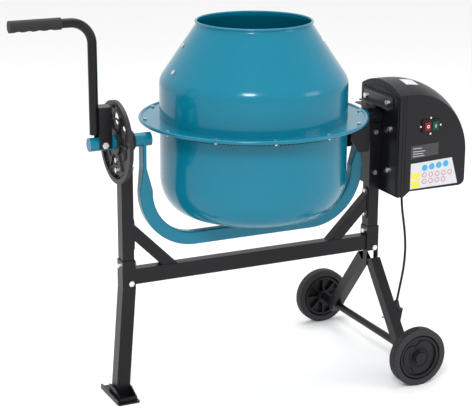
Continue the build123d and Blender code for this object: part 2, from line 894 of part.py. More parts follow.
drive_pulley = pulley(drive_pulley_radius, tilt_z, shaft_radius, True)
motor_pulley = pulley(motor_pulley_radius, motor_z, motor_shaft_radius, False)

belt_gap = 0.4
with BuildPart() as drive_belt:
    for extra, mode in ((belt_gap + belt_thickness, Mode.ADD), (belt_gap, Mode.SUBTRACT)):
        with BuildSketch(across(pulley_x - belt_width / 2)):
            with Locations((0, tilt_z)):
                Circle(drive_pulley_radius + extra)
            with Locations((0, motor_z)):
                Circle(motor_pulley_radius + extra)
            make_hull()
        extrude(amount=belt_width, mode=mode)

with BuildPart() as motor_shaft:
    with BuildSketch(across(pulley_x - pulley_half - 4)):
        with Locations((0, motor_z)):
            Circle(motor_shaft_radius)
    extrude(amount=motor_face_x + motor_length - 12 - pulley_x + pulley_half + 4)

with BuildPart() as motor:
    with BuildSketch(across(motor_face_x)):
        with Locations((0, motor_z)):
            Circle(motor_radius)
    extrude(amount=motor_length)
    fillet(motor.edges().filter_by(GeomType.CIRCLE), 5)
    with BuildSketch(across(motor_face_x + 14)):
        with Locations((0, motor_z)):
            with PolarLocations(motor_radius - 0.6, 36):
                Rectangle(5, 3)
    extrude(amount=motor_length - 28)
    with BuildSketch(across(motor_face_x)):
        with Locations((0, motor_z)):
            Circle(motor_shaft_radius + run_gap)
    extrude(amount=motor_length - 10, mode=Mode.SUBTRACT)

bracket_plate = 3.0
motor_bracket_back = housing_back_x + housing_wall
with BuildPart() as motor_bracket:
    with BuildSketch(across(motor_face_x - bracket_plate)):
        with Locations((0, motor_z - 2)):
            RectangleRounded(2 * motor_radius, 2 * motor_radius - 6, 8)
        with Locations((0, motor_z)):
            Circle(motor_shaft_radius + 6, mode=Mode.SUBTRACT)
    extrude(amount=bracket_plate)
    shelf_z = motor_z - motor_radius + 1
    with BuildSketch(across(motor_bracket_back)):
        with Locations((0, shelf_z + bracket_plate / 2)):
            Rectangle(2 * motor_radius - 16, bracket_plate)
    extrude(amount=motor_face_x - motor_bracket_back)

# ---------------------------------------------------------------- motor housing
housing_middle_x = housing_reach - housing_round
housing_middle_z = housing_crown - housing_round
mount_plate_top = 706.0
mount_plate_bottom = housing_bottom + 4
with BuildPart() as mounting_plate:
    with BuildSketch(across(post_outer)):
        with Locations((housing_y, (mount_plate_top + mount_plate_bottom) / 2)):
            RectangleRounded(2 * housing_half - 14, mount_plate_top - mount_plate_bottom, 8)
        with Locations((0, tilt_z)):
            Circle(shaft_radius + 6, mode=Mode.SUBTRACT)
        for y in (-wall_bolt_y, wall_bolt_y - 2 * abs(housing_y)):
            for z in wall_bolt_zs:
                with Locations((y, z)):
                    Circle(joint_bolt_radius + bolt_fit, mode=Mode.SUBTRACT)
        for y in (-wall_bolt_y + 10, wall_bolt_y):
            with Locations((y, 685)):
                Circle(joint_bolt_radius + bolt_fit, mode=Mode.SUBTRACT)
    extrude(amount=plate_thickness)


def housing_section(x):
    """A plane across the housing at that x, on the height of its crown's centre."""
    return Plane(origin=at(x, housing_y, housing_middle_z), x_dir=(0, 1, 0), z_dir=(1, 0, 0))


def housing_block(inset):
    """The whole motor housing as one solid, drawn smaller by inset: quarter-round, with crowned walls."""
    half = housing_half - inset
    crest = housing_round - inset
    edge = housing_edge_round - inset
    bottom = housing_bottom + inset
    raised = cover_bottom + inset
    back = housing_back_x + inset
    foot_x = housing_split_x + 6
    with BuildPart(mode=Mode.PRIVATE) as made:
        with BuildSketch(housing_section(housing_middle_x)):
            with BuildLine():
                crown = ThreePointArc((-half, edge), (0, crest), (half, edge))
                Polyline(crown @ 1, (half, 0), (-half, 0), crown @ 0)
            make_face()
        revolve(axis=Axis(at(housing_middle_x, 0, housing_middle_z), (0, 1, 0)), revolution_arc=90)
        with BuildSketch(housing_section(back)):
            with BuildLine():
                crown = ThreePointArc((-half, edge), (0, crest), (half, edge))
                Polyline(crown @ 1, (half, 0), (-half, 0), crown @ 0)
            make_face()
        extrude(amount=housing_middle_x - back)
        with BuildSketch(Plane(origin=at(housing_middle_x, housing_y, raised))):
            with BuildLine():
                crown = ThreePointArc((edge, -half), (crest, 0), (edge, half))
                wall_x = back - housing_middle_x
                Polyline(crown @ 1, (wall_x, half), (wall_x, -half), crown @ 0)
            make_face()
        extrude(amount=housing_middle_z - raised)
        fillet(made.edges().filter_by(GeomType.CIRCLE).sort_by(Axis.Z)[0], housing_foot_round - inset)
        with BuildSketch(front(housing_y + half)):
            with BuildLine():
                Polyline(
                    (back, bottom),
                    (foot_x, bottom),
                    (foot_x + 18, raised),
                    (foot_x + 18, raised + 5),
                    (back, raised + 5),
                    close=True,
                )
            make_face()
        extrude(amount=2 * half)
    return made.part


gland_x = 423.0
gland_y = -20.0
gland_hole = 9.2

with BuildPart() as housing_back:
    add(housing_block(0))
    add(housing_block(housing_wall), mode=Mode.SUBTRACT)
    split(bisect_by=across(housing_split_x), keep=Keep.BOTTOM)
    with Locations(Location(at(housing_back_x, 0, tilt_z), (0, 90, 0))):
        Cylinder(shaft_radius + 6, 20, mode=Mode.SUBTRACT)
    for y in (-wall_bolt_y, wall_bolt_y - 2 * abs(housing_y)):
        for z in wall_bolt_zs:
            with Locations(Location(at(housing_back_x, y, z), (0, 90, 0))):
                Cylinder(joint_bolt_radius + bolt_fit, 20, mode=Mode.SUBTRACT)
    for y in (-wall_bolt_y + 10, wall_bolt_y):
        with Locations(Location(at(housing_back_x, y, 685), (0, 90, 0))):
            Cylinder(joint_bolt_radius + bolt_fit, 20, mode=Mode.SUBTRACT)

housing_front = housing_y - housing_half
with BuildPart() as housing_cover:
    add(housing_block(0))
    add(housing_block(housing_wall), mode=Mode.SUBTRACT)
    split(bisect_by=across(housing_split_x), keep=Keep.TOP)
    with BuildSketch(front(housing_front + 10)):
        with Locations((switch_x, switch_z)):
            Rectangle(switch_plate_size[0] - 6, switch_plate_size[1] - 6)
    extrude(amount=20, mode=Mode.SUBTRACT)
    with Locations(Location(at(gland_x, gland_y, cover_bottom))):
        Cylinder(gland_hole, 20, mode=Mode.SUBTRACT)

bracket_depth = 3.0
with BuildPart() as support_bracket:
    with BuildSketch(across(post_outer - bracket_depth)):
        with Locations((-2, 687)):
            RectangleRounded(140, 30, 3)
        for y in (-wall_bolt_y + 10, wall_bolt_y):
            with Locations((y, 685)):
                Circle(joint_bolt_radius + bolt_fit, mode=Mode.SUBTRACT)
    extrude(amount=bracket_depth)
    with BuildSketch(level(672)):
        with Locations((post_outer - 9, -2)):
            Rectangle(18, 140)
    extrude(amount=3)

clamp_z = tilt_z + bearing_radius + weld_gap
with BuildPart() as bearing_clamp:
    with BuildSketch(level(clamp_z)):
        with Locations((post_inner - 4, 8)):
            RectangleRounded(18, 78, 3)
    extrude(amount=3)
    with BuildSketch(across(post_inner - 3)):
        with Locations((0, tilt_z)):
            Rectangle(post_size, 2 * bearing_radius + 4)
            Circle(bearing_radius + weld_gap, mode=Mode.SUBTRACT)
            with Locations((0, -bearing_radius)):
                Rectangle(post_size, 26, mode=Mode.SUBTRACT)
    extrude(amount=3)

# ---------------------------------------------------------------- switch
body_depth = 24.0
plate_depth = 4.0
button_gap = 0.35
with BuildPart() as switch_box:
    with BuildSketch(front(housing_front)):
        with Locations((switch_x, switch_z)):
            RectangleRounded(*switch_plate_size, 3)
    extrude(amount=plate_depth)
    with BuildSketch(front(housing_front)):
        with Locations((switch_x, switch_z)):
            Rectangle(switch_plate_size[0] - 6.4, switch_plate_size[1] - 6.4)
    extrude(amount=-body_depth)
    with BuildSketch(front(housing_front - plate_depth)):
        with Locations((switch_x, switch_z)):
            with GridLocations(button_pitch, 0, 2, 1):
                Rectangle(button_size[0] + 2 * button_gap, button_size[1] + 2 * button_gap)
    extrude(amount=-plate_depth - 14, mode=Mode.SUBTRACT)


def button(side):
    """A push button in the switch box; side is -1 for stop and 1 for start."""
    with BuildPart() as made:
        with BuildSketch(front(housing_front - plate_depth - button_travel - 1.5)):
            with Locations((switch_x + side * button_pitch / 2, switch_z)):
                Rectangle(*button_size)
        extrude(amount=-plate_depth - button_travel - 10)
        chamfer(made.edges().group_by(Axis.Y)[0], 1.2)
    return made


red_button = button(-1)
green_button = button(1)

# ---------------------------------------------------------------- fasteners
head = 6.5
with BuildPart() as frame_bolts:
    for x in (-post_x, post_x):
        bolt_start = at(x + low_bolt_off, -sleeve_half, low_bolt_z)
        bolt_plane = Plane(origin=bolt_start, x_dir=(1, 0, 0), z_dir=(0, 1, 0))
        add(bolt(bolt_plane, sleeve_size + 8, joint_bolt_radius, head + 1, 4.5))
        bolt_plane = Plane(origin=at(x - sleeve_half, 0, high_bolt_z), x_dir=(0, 1, 0), z_dir=(1, 0, 0))
        add(bolt(bolt_plane, sleeve_size + 8, joint_bolt_radius, head, 4.5))
    for z in plate_bolt_zs:
        bolt_plane = Plane(origin=at(post_x, -post_half, z), x_dir=(1, 0, 0), z_dir=(0, 1, 0))
        add(bolt(bolt_plane, post_size + 8, joint_bolt_radius, head, 4.5))
    for drop in disc_bolt_drops:
        bolt_plane = Plane(
            origin=at(disc_x + disc_thickness - disc_web, 0, tilt_z - drop), x_dir=(0, 1, 0), z_dir=(1, 0, 0)
        )
        add(bolt(bolt_plane, post_size + disc_web + 8, disc_bolt_radius, head, 4.5))
    for side in (-1, 1):
        half = brace_width / sqrt(2)
        for z in (brace_drop_post + half + 6, brace_drop_post - half - 16):
            plane = Plane(
                origin=at(side * (post_inner - brace_plate), 0, z), x_dir=(0, 1, 0), z_dir=(side, 0, 0)
            )
            add(bolt(plane, brace_plate, screw_radius, 5, 3, nut=False))

with BuildPart() as housing_screws:
    for y in (-wall_bolt_y, wall_bolt_y - 2 * abs(housing_y)):
        for z in wall_bolt_zs:
            place = Plane(origin=at(post_outer, y, z), x_dir=(0, 1, 0), z_dir=(1, 0, 0))
            add(bolt(place, plate_thickness + housing_wall + 8, joint_bolt_radius, head, 4.5))
    for y in (-wall_bolt_y + 10, wall_bolt_y):
        place = Plane(origin=at(post_outer - bracket_depth, y, 685), x_dir=(0, 1, 0), z_dir=(1, 0, 0))
        grip = bracket_depth + plate_thickness + housing_wall
        add(bolt(place, grip + 8, joint_bolt_radius, head + 0.5, 4.5))
    for dx, dz in ((-29.5, 0), (29.5, 0), (0, 20.5), (0, -20.5)):
        place = Plane(
            origin=at(switch_x + dx, housing_front, switch_z + dz), x_dir=(1, 0, 0), z_dir=(0, 1, 0)
        )
        with BuildSketch(place):
            Circle(2.6)
        extrude(amount=-2)

# ---------------------------------------------------------------- drum fittings
blade_wall = 3.0
blade_depth = 62.0
blade_gap = 0.4  # from the upright wall
blade_clear = 1.0  # from the cone


def blade_reach(z):
    """How far out a blade reaches at that height inside the cone."""
    return drum_radius - (z - shoulder_z) * cone_slope - (drum_wall + blade_clear) * sqrt(1 + cone_slope**2)


def blade():
    """One mixing blade in the plane through the drum's axis: it follows the drum's inner wall."""
    outer = drum_radius - drum_wall - blade_gap
    bend_z = shoulder_z + 13
    top_z = blade_bolt_heights[1] + 10
    low_z = bowl_corner_z - 18
    with BuildPart(mode=Mode.PRIVATE) as made:
        with BuildSketch(Plane.XZ):
            with BuildLine():
                Polyline(
                    (outer, low_z + 20),
                    (outer, shoulder_z - 14),
                    (blade_reach(bend_z), bend_z),
                    (blade_reach(top_z), top_z),
                    (blade_reach(top_z) - blade_depth * 0.6, top_z - 24),
                    (outer - blade_depth, shoulder_z - 40),
                    (outer - blade_depth, low_z + 60),
                    (outer - 14, low_z + 14),
                    close=True,
                )
            make_face()
        extrude(amount=blade_wall / 2, both=True)
    return made.part


with BuildPart() as mixing_paddles:
    with Locations(Location(at(0))):
        for angle in blade_angles:
            with Locations(Location((0, 0, 0), (0, 0, angle))):
                add(blade())
    for spot in blade_bolt_places:
        reach = (spot.origin - Vector(*at(0, 0, spot.origin.Z))).length * sin(radians(blade_bolt_turn))
        with BuildSketch(spot.offset(drum_wall + blade_foot_gap)):
            Rectangle(2 * reach, 22)
            Circle(blade_bolt_radius + bolt_fit, mode=Mode.SUBTRACT)
        extrude(amount=blade_wall)

flange_head_height = 3.6
blade_head_height = 3.5
bolt_end = 3.0  # what shows past a nut
with BuildPart() as drum_bolts:
    for k in range(flange_bolt_count):
        turn = radians(flange_bolt_start + 360 * k / flange_bolt_count)
        spot = Plane(
            origin=at(flange_bolt_ring * cos(turn), flange_bolt_ring * sin(turn), flange_z + drum_wall),
            z_dir=(0, 0, -1),
        )
        grip = 2 * drum_wall
        add(bolt(spot, grip + flange_head_height + bolt_end, flange_bolt_radius, 5, flange_head_height))
    for spot in blade_bolt_places:
        grip = drum_wall + blade_foot_gap + blade_wall
        add(bolt(spot, grip + blade_head_height + bolt_end, blade_bolt_radius, 6.5, blade_head_height))

# ---------------------------------------------------------------- lever
with BuildPart() as lever_tube:
    with BuildLine(front(0)):
        FilletPolyline(
            (-lever_x, lever_foot), (-lever_x, lever_top), (-lever_reach + 6, lever_top), radius=lever_bend
        )
    with BuildSketch(level(lever_foot)):
        with Locations((-lever_x, 0)):
            Circle(lever_radius)
            Circle(lever_radius - lever_wall, mode=Mode.SUBTRACT)
    sweep()

scallop_pitch = 25.0
scallop_radius = 17.0
scallop_z = lever_top - grip_radius - scallop_radius + 3
with BuildPart() as lever_grip:
    with BuildSketch(across(-lever_reach)):
        with Locations((0, lever_top)):
            Circle(grip_radius)
    extrude(amount=grip_length)
    for k in range(4):
        with Locations(
            Location(at(-lever_reach + 20 + k * scallop_pitch, 0, scallop_z), (90, 0, 0))
        ):
            Cylinder(scallop_radius, 60, mode=Mode.SUBTRACT)
    with BuildSketch(across(-lever_reach + 6)):
        with Locations((0, lever_top)):
            Circle(lever_radius)
    extrude(amount=grip_length, mode=Mode.SUBTRACT)

cheek_y = tube_radius + free_gap
with BuildPart() as lever_bracket:
    for y in (-cheek_y - bracket_wall, cheek_y):
        with BuildSketch(front(y + bracket_wall)):
            with BuildLine():
                Polyline(
                    (-bracket_left, bracket_top),
                    (-bracket_right, bracket_top),
                    (-bracket_right, bracket_bottom),
                    (-bracket_left, bracket_bottom),
                    close=True,
                )
            make_face()
        extrude(amount=bracket_wall)
    # web beside the lever tube, and the latch tab that points at the disc
    web_z = lever_foot + 1
    with BuildSketch(across(-bracket_left)):
        with Locations((0, (bracket_top + web_z) / 2)):
            Rectangle(2 * cheek_y + bracket_wall, bracket_top - web_z)
    extrude(amount=bracket_wall)
    with BuildSketch(level(bracket_top - bracket_wall)):
        with Locations((-(bracket_left + bracket_right) / 2, 0)):
            Rectangle(bracket_left - bracket_right, 2 * cheek_y + bracket_wall)
        tab_end = post_outer + disc_thickness + latch_gap
        with Locations((-(bracket_right + tab_end) / 2 - 1, 0)):
            Rectangle(bracket_right - tab_end + 2, 24)
    extrude(amount=bracket_wall)
    with Locations(Location(at(-lever_x, 0, (bracket_top + lever_foot) / 2))):
        Cylinder(lever_radius + weld_gap, bracket_top - lever_foot + 20, mode=Mode.SUBTRACT)
    with Locations(Location(at(-pivot_x, 0, tilt_z), (90, 0, 0))):
        Cylinder(pivot_radius, 60, mode=Mode.SUBTRACT)

with BuildPart() as lever_bolt:
    place = Plane(origin=at(-pivot_x, -cheek_y - bracket_wall, tilt_z), x_dir=(1, 0, 0), z_dir=(0, 1, 0))
    add(bolt(place, 2 * (cheek_y + bracket_wall) + 9, pivot_radius, 8.5, 5.5, nut=False))
    with BuildSketch(place.offset(2 * (cheek_y + bracket_wall))):
        RegularPolygon(8.5, 6)
    extrude(amount=6.5)

spring_radius = 7.5
spring_wire = 1.8
with BuildPart() as lever_spring:
    with BuildLine() as coil:
        Helix(
            pitch=3.2,
            height=19.2,
            radius=spring_radius,
            center=at(-pivot_x, -9.6, tilt_z),
            direction=(0, 1, 0),
        )
    with BuildSketch(Plane(origin=coil.line @ 0, z_dir=coil.line % 0)):
        Circle(spring_wire / 2)
    sweep()

# ---------------------------------------------------------------- labels, gland, cord and plug
label_thickness = 0.5
with BuildPart() as labels:
    with BuildSketch(front(housing_front)):
        with BuildLine():
            Polyline((396, 539), (509, 539), (540, 472), (537, 467), (396, 467), close=True)
        make_face()
        with Locations((436, 564)):
            Rectangle(82, 36)
    extrude(amount=label_thickness)

with BuildPart() as cable_gland:
    with BuildSketch(level(cover_bottom)):
        with Locations((gland_x, gland_y)):
            Circle(gland_hole - 0.2)
    extrude(amount=housing_wall + 3)
    with BuildSketch(level(cover_bottom)):
        with Locations((gland_x, gland_y)):
            Circle(12)
    extrude(amount=-5)
    with BuildSketch(level(cover_bottom - 5)):
        with Locations((gland_x, gland_y)):
            Circle(9)
    with BuildSketch(level(cover_bottom - gland_length)):
        with Locations((gland_x, gland_y)):
            Circle(4.6)
    loft()

# the cord's route, from the gland down to the plug
cord_route = [
    at(gland_x, gland_y, cover_bottom - gland_length),
    at(424.5, -20, 398),
    at(430.5, -20, 364),
    at(437.5, -20, 322),
    at(441.0, -20, 276),
    at(438.5, -20, 232),
    at(432.0, -20, 194),
    at(425.0, -20, 160),
    at(420.5, -20, 136),
]


def bend_radii(route, share):
    """The largest even radius for each corner: share of its shorter run over the tangent of half its turn."""
    radii = []
    for before, here, after in zip(route, route[1:], route[2:]):
        run_in = Vector(*here) - Vector(*before)
        run_out = Vector(*after) - Vector(*here)
        turn = radians(run_in.get_angle(run_out))
        radii.append(share * min(run_in.length, run_out.length) / tan(turn / 2))
    return radii


cord_radii = bend_radii(cord_route, 0.45)
print("cord radii", [round(radius) for radius in cord_radii])

with BuildPart() as power_cord:
    with BuildLine() as cord_line:
        FilletPolyline(*cord_route, radius=cord_radii)
    with BuildSketch(Plane(origin=cord_line.line @ 0, z_dir=cord_line.line % 0)):
        Circle(cord_diameter / 2)
    sweep()

cord_length = sum(edge.length for edge in cord_line.edges())
cord_section = pi * (cord_diameter / 2) ** 2
print("cord length", round(cord_length, 1))
volume_share = power_cord.part.volume / (cord_section * cord_length)
print("cord volume over section times length", round(volume_share, 4))

plug_place = Plane(origin=cord_line.line @ 1, x_dir=(1, 0, 0), z_dir=cord_line.line % 1)
plug_height = 50.0
plug_width = 48.0
plug_depth = 22.0
neck_length = 16.0
with BuildPart() as plug_body:
    with BuildSketch(plug_place):
        Circle(5)
    with BuildSketch(plug_place.offset(neck_length)):
        RectangleRounded(plug_depth - 4, 24, 6)
    loft()
    with BuildSketch(plug_place.offset(neck_length)):
        RectangleRounded(plug_depth, plug_width, 6)
    extrude(amount=plug_height)
    fillet(plug_body.faces().sort_by(Axis.Z)[0].edges(), 2)

with BuildPart() as plug_pins:
    face = Plane(
        origin=plug_place.offset(neck_length + plug_height / 2).origin - plug_place.x_dir * plug_depth / 2,
        x_dir=plug_place.y_dir,
        z_dir=-plug_place.x_dir,
    )
    with BuildSketch(face):
        with Locations((0, 11)):
            Rectangle(4, 8)
    extrude(amount=22.7)
    with BuildSketch(face):
        with Locations((-11.1, -11), (11.1, -11)):
            Rectangle(6.3, 4)
    extrude(amount=17.7)

pieces = {
    "left_post": left_post,
    "right_post": right_post,
    "cross_beam": cross_beam,
    "left_leg": left_leg,
    "foot_plate": foot_plate,
    "right_sleeve": right_sleeve,
    "left_brace": left_brace,
    "right_brace": right_brace,
    "near_axle_leg": near_axle_leg,
    "far_axle_leg": far_axle_leg,
    "axle": axle,
    "axle_retainers": axle_retainers,
    "near_tyre": near_tyre,
    "near_rim": near_rim,
    "far_tyre": far_tyre,
    "far_rim": far_rim,
    "left_bearing": left_bearing,
    "right_bearing": right_bearing,
    "bearing_clamp": bearing_clamp,
    "index_disc": index_disc,
    "tilt_tube": tilt_tube,
    "right_trunnion": right_trunnion,
    "yoke_tube": yoke_tube,
    "pinion_guard": pinion_guard,
    "drum_spindle": drum_spindle,
    "drum_bearings": drum_bearings,
    "spindle_nut": spindle_nut,
    "drum_hub": drum_hub,
    "drum_bowl": drum_bowl,
    "drum_cone": drum_cone,
    "drum_bolts": drum_bolts,
    "mixing_paddles": mixing_paddles,
    "ring_gear": ring_gear,
    "pinion_gear": pinion_gear,
    "pinion_shaft": pinion_shaft,
    "drive_pulley": drive_pulley,
    "motor_pulley": motor_pulley,
    "motor_shaft": motor_shaft,
    "drive_belt": drive_belt,
    "motor": motor,
    "motor_bracket": motor_bracket,
    "mounting_plate": mounting_plate,
    "support_bracket": support_bracket,
    "housing_back": housing_back,
    "housing_cover": housing_cover,
    "switch_box": switch_box,
    "red_button": red_button,
    "green_button": green_button,
    "frame_bolts": frame_bolts,
    "housing_screws": housing_screws,
    "labels": labels,
    "cable_gland": cable_gland,
    "power_cord": power_cord,
    "plug_body": plug_body,
    "plug_pins": plug_pins,
    "lever_tube": lever_tube,
    "lever_bracket": lever_bracket,
    "lever_grip": lever_grip,
    "lever_bolt": lever_bolt,
    "lever_spring": lever_spring,
}
for name, piece in pieces.items():
    piece.part.label = name
    export_step(piece.part, f"parts/{name}.step")
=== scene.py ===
"""The looks of a small concrete mixer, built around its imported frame. Metres, +Z up."""

import json
from math import atan2, cos, pi, radians, sin, sqrt

import bpy
from mathutils import Matrix, Vector


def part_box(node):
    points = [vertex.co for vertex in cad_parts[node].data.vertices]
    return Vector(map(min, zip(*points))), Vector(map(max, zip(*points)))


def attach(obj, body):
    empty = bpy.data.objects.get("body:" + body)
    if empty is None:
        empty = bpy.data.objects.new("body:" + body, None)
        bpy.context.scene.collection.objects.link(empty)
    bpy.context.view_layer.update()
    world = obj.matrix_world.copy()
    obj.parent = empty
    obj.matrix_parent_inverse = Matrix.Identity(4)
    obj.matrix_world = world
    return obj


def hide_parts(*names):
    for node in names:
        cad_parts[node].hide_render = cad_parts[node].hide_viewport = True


bl_info = {
    "name": "Concrete Mixer",
    "version": (1, 0, 0),
    "blender": (4, 5, 0),
    "location": "View3D > Sidebar > Mixer",
    "description": "Finishes, labels, tyres, cord and studio for a small concrete mixer",
    "category": "Object",
}

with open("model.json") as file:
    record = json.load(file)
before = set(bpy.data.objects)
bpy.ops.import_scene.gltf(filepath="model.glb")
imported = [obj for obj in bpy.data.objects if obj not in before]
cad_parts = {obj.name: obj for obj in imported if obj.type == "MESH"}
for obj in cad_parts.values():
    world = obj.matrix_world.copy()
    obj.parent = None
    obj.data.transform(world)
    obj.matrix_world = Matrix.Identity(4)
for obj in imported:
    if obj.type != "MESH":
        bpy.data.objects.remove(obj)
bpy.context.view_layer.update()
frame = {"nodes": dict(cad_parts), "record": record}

MM = 0.001
DRUM_X = 13.5 * MM  # the drum's axis in the frame


def place(x, y, z):
    """A point given in millimetres from the drum's axis."""
    return Vector((DRUM_X + x * MM, y * MM, z * MM))


# ---------------------------------------------------------------- shader maths
class Wire:
    """One output socket of a node tree, which arithmetic joins to new Math nodes."""

    def __init__(self, tree, socket):
        self.tree = tree
        self.socket = socket

    def _join(self, operation, *others, clamp=False):
        node = self.tree.nodes.new("ShaderNodeMath")
        node.operation = operation
        node.use_clamp = clamp
        for slot, value in zip(node.inputs, (self, *others)):
            feed(self.tree, value, slot)
        return Wire(self.tree, node.outputs[0])

    def __add__(self, other):
        return self._join("ADD", other)

    def __mul__(self, other):
        return self._join("MULTIPLY", other)

    def above(self, other):
        return self._join("GREATER_THAN", other)

    def clamped(self):
        return self._join("ADD", 0.0, clamp=True)


def feed(tree, value, socket):
    """Links a wire to a socket, or sets the socket's own value."""
    if isinstance(value, Wire):
        tree.links.new(value.socket, socket)
    else:
        socket.default_value = value


class Finish:
    """A material under construction: a Principled shader and the nodes that feed it."""

    def __init__(self, name):
        self.material = bpy.data.materials.new(name)
        self.material.use_nodes = True
        self.tree = self.material.node_tree
        self.shader = self.tree.nodes["Principled BSDF"]
        coordinates = self.tree.nodes.new("ShaderNodeTexCoord")
        self.position = Wire(self.tree, coordinates.outputs["Object"])
        self.height = None

    def set(self, **values):
        for name, value in values.items():
            feed(self.tree, value, self.shader.inputs[name.replace("_", " ")])
        return self

    def noise(self, scale, detail=4.0, roughness=0.5, stretch=(1, 1, 1)):
        mapping = self.tree.nodes.new("ShaderNodeMapping")
        feed(self.tree, self.position, mapping.inputs["Vector"])
        mapping.inputs["Scale"].default_value = stretch
        node = self.tree.nodes.new("ShaderNodeTexNoise")
        self.tree.links.new(mapping.outputs[0], node.inputs["Vector"])
        node.inputs["Scale"].default_value = scale
        node.inputs["Detail"].default_value = detail
        node.inputs["Roughness"].default_value = roughness
        return Wire(self.tree, node.outputs["Fac"])

    def cells(self, scale):
        node = self.tree.nodes.new("ShaderNodeTexVoronoi")
        feed(self.tree, self.position, node.inputs["Vector"])
        node.inputs["Scale"].default_value = scale
        return Wire(self.tree, node.outputs["Distance"])

    def mix(self, factor, first, second):
        node = self.tree.nodes.new("ShaderNodeMix")
        node.data_type = "RGBA"
        feed(self.tree, factor, node.inputs["Factor"])
        feed(self.tree, first, node.inputs[6])
        feed(self.tree, second, node.inputs[7])
        return Wire(self.tree, node.outputs[2])

    def bump(self, height, distance, strength=1.0):
        node = self.tree.nodes.new("ShaderNodeBump")
        feed(self.tree, height, node.inputs["Height"])
        node.inputs["Distance"].default_value = distance
        node.inputs["Strength"].default_value = strength
        if self.height is not None:
            feed(self.tree, self.height, node.inputs["Normal"])
        self.height = Wire(self.tree, node.outputs["Normal"])
        feed(self.tree, self.height, self.shader.inputs["Normal"])
        return self


def opaque(colour):
    """A colour with full alpha."""
    return (*colour, 1.0)


def shade(colour, share):
    """A lighter or darker tone of a colour."""
    return opaque(tuple(min(1.0, part * share) for part in colour))


# ---------------------------------------------------------------- finishes
def gloss_enamel(name, colour, roughness):
    """Sprayed enamel over sheet or cast steel: orange peel, faint tone drift and fine dust."""
    made = Finish(name)
    drift = made.noise(5.0, 3.0)
    dust = (made.noise(220.0, 6.0, 0.7).above(0.69) * made.noise(14.0, 2.0)).clamped()
    tone = made.mix(drift, shade(colour, 0.9), shade(colour, 1.1))
    made.set(Base_Color=made.mix(dust * 0.25, tone, opaque((0.5, 0.5, 0.48))))
    made.set(Roughness=drift * 0.05 + roughness, Specular_IOR_Level=0.2)
    made.set(Coat_Weight=0.22, Coat_Roughness=0.04)
    made.bump(made.noise(420.0, 2.0), 0.00001)
    return made.material


def powder_coat(name, colour, roughness):
    """Black powder coat on tube: fine texture, small scuffs that show lighter."""
    made = Finish(name)
    scuffs = made.noise(38.0, 8.0, 0.75, (1, 1, 0.25)).above(0.71)
    drift = made.noise(9.0, 3.0)
    tone = made.mix(drift, shade(colour, 0.8), shade(colour, 1.3))
    made.set(Base_Color=made.mix(scuffs * 0.35, tone, opaque((0.05, 0.05, 0.055))))
    made.set(Roughness=drift * 0.14 + scuffs * 0.12 + roughness, Specular_IOR_Level=0.22)
    made.bump(made.noise(900.0, 2.0), 0.00005)
    return made.material


def bright_zinc(name, colour, roughness):
    """Zinc-plated steel: crystal spangle and a slight warm cast."""
    made = Finish(name)
    spangle = made.cells(520.0)
    tone = made.mix(spangle, shade(colour, 0.82), shade(colour, 1.08))
    made.set(Base_Color=tone, Metallic=1.0, Roughness=spangle * 0.18 + roughness)
    made.bump(made.noise(700.0, 3.0), 0.00004)
    return made.material


def machined_steel(name, colour, roughness):
    """Turned or ground steel with tool lines along it and an oily tone."""
    made = Finish(name)
    lines = made.noise(160.0, 3.0, 0.6, (14, 1, 1))
    tone = made.mix(lines, shade(colour, 0.75), shade(colour, 1.1))
    made.set(Base_Color=tone, Metallic=1.0, Roughness=lines * 0.2 + roughness)
    made.bump(lines, 0.00005)
    return made.material


def painted_casting(name, colour, roughness):
    """Sand-cast iron under thin paint: pitted skin with grey where it is rubbed."""
    made = Finish(name)
    skin = made.noise(260.0, 6.0, 0.7)
    rubbed = made.noise(30.0, 5.0, 0.7).above(0.66)
    tone = made.mix(skin, shade(colour, 0.7), shade(colour, 1.4))
    made.set(Base_Color=made.mix(rubbed * 0.4, tone, opaque((0.2, 0.2, 0.21))))
    made.set(Metallic=0.25, Roughness=skin * 0.25 + roughness)
    made.bump(skin, 0.0003)
    return made.material


def moulded_plastic(name, colour, roughness, grain):
    """Injection-moulded plastic with a spark-eroded grain and faint flow marks."""
    made = Finish(name)
    flow = made.noise(7.0, 2.0)
    grit = made.cells(grain)
    tone = made.mix(flow, shade(colour, 0.88), shade(colour, 1.14))
    made.set(Base_Color=tone, Roughness=flow * 0.12 + roughness, Specular_IOR_Level=0.22)
    made.bump(grit, 0.00006)
    return made.material


def soft_rubber(name, colour, roughness):
    """Rubber with a dusty bloom and a fine pebbled skin."""
    made = Finish(name)
    bloom = made.noise(26.0, 6.0, 0.7)
    tone = made.mix(bloom, shade(colour, 0.75), shade(colour, 1.5))
    made.set(Base_Color=tone, Roughness=bloom * 0.12 + roughness, Specular_IOR_Level=0.25)
    made.bump(made.noise(650.0, 3.0), 0.00008)
    return made.material


def printed_film(name, colour, roughness):
    """Printed polyester film under a clear layer, with slight ripples from being laid by hand."""
    made = Finish(name)
    ripple = made.noise(45.0, 2.0)
    tone = made.mix(ripple, shade(colour, 0.95), shade(colour, 1.03))
    made.set(Base_Color=tone, Roughness=ripple * 0.1 + roughness, Coat_Weight=0.4, Coat_Roughness=0.12)
    made.bump(ripple, 0.00006)
    return made.material


